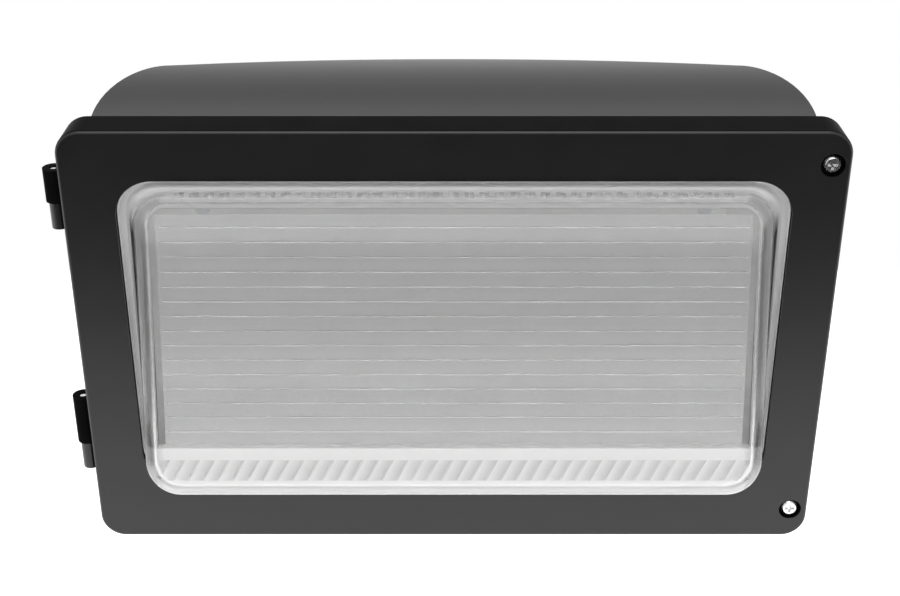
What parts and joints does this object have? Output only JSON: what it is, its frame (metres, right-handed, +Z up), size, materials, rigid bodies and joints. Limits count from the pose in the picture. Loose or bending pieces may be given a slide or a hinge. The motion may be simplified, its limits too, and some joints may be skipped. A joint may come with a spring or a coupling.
{
  "type": "wall pack light",
  "caption": "Wall pack light: wedge-shaped die-cast housing for a flat wall, with a tilted hinged door that holds a ribbed glass refractor over an LED tray.",
  "frame": {"origin": "middle of the flat rear face that lies on the wall", "axes": "+Z up the wall, +Y into the wall, +X to the right as seen from the front; the light stands out along -Y"},
  "size_m": [0.3717, 0.1895, 0.2436],
  "materials": {
    "black_powder_coat": "fine-textured satin black powder coat on die-cast aluminium",
    "clear_glass": "clear pressed glass",
    "frosted_acrylic": "frosted white translucent sheet",
    "black_rubber": "matt silicone",
    "stainless_steel": "bright stainless",
    "zinc_steel": "zinc plated",
    "aluminium_sheet": "mill finish",
    "white_reflector": "gloss white enamel",
    "white_board": "white solder mask",
    "led_phosphor": "yellow phosphor in silicone",
    "driver_case": "light grey painted aluminium case",
    "dark_plastic": "moulded black plastic",
    "grey_plastic": "moulded grey plastic",
    "green_screw": "green dyed steel"
  },
  "bodies": {
    "housing": {"back_housing": "black_powder_coat", "hinge_pin_upper": "stainless_steel", "hinge_pin_lower": "stainless_steel", "gear_plate": "aluminium_sheet", "gear_plate_screws": "zinc_steel", "reflector_tray": "white_reflector", "led_board_upper": "white_board", "led_board_lower": "white_board", "leds_upper": "led_phosphor", "leds_lower": "led_phosphor", "led_driver": "driver_case", "driver_screws": "zinc_steel", "surge_protector": "dark_plastic", "terminal_block": "grey_plastic", "ground_screw": "green_screw", "conduit_plug_left": "black_powder_coat", "conduit_plug_right": "black_powder_coat", "conduit_plug_bottom": "black_powder_coat"},
    "door": {"door_frame": "black_powder_coat", "door_gasket": "black_rubber", "refractor_lens": "clear_glass", "diffuser_sheet": "frosted_acrylic", "lens_gasket": "black_rubber", "lens_clips": "zinc_steel", "lens_clip_screws": "zinc_steel"},
    "upper_screw_ring": {"screw_retainer_upper": "grey_plastic"},
    "upper_screw": {"door_screw_upper": "stainless_steel"},
    "lower_screw_ring": {"screw_retainer_lower": "grey_plastic"},
    "lower_screw": {"door_screw_lower": "stainless_steel"}
  },
  "joints": [
    {"name": "door_swing", "type": "hinge", "parent": "housing", "child": "door", "pos_m": [-0.1855, -0.14072, -0.0229], "axis": [0, 0.342, -0.9397], "range_deg": [0, 105]},
    {"name": "upper_screw_travel", "type": "slide", "parent": "door", "child": "upper_screw_ring", "axis": [0, -0.9397, -0.342], "range_m": [0, 0.004]},
    {"name": "upper_screw_turn", "type": "hinge", "parent": "upper_screw_ring", "child": "upper_screw", "pos_m": [0.1723, -0.18128, 0.0628], "axis": [0, -0.9397, -0.342], "range_deg": [0, 1800]},
    {"name": "lower_screw_travel", "type": "slide", "parent": "door", "child": "lower_screw_ring", "axis": [0, -0.9397, -0.342], "range_m": [0, 0.004]},
    {"name": "lower_screw_turn", "type": "hinge", "parent": "lower_screw_ring", "child": "lower_screw", "pos_m": [0.1723, -0.11671, -0.11461], "axis": [0, -0.9397, -0.342], "range_deg": [0, 1800]}
  ],
  "couplings": [
    {"joint": "upper_screw_turn", "follows": "upper_screw_travel", "rad_per_m": 7854},
    {"joint": "lower_screw_turn", "follows": "lower_screw_travel", "rad_per_m": 7854}
  ]
}
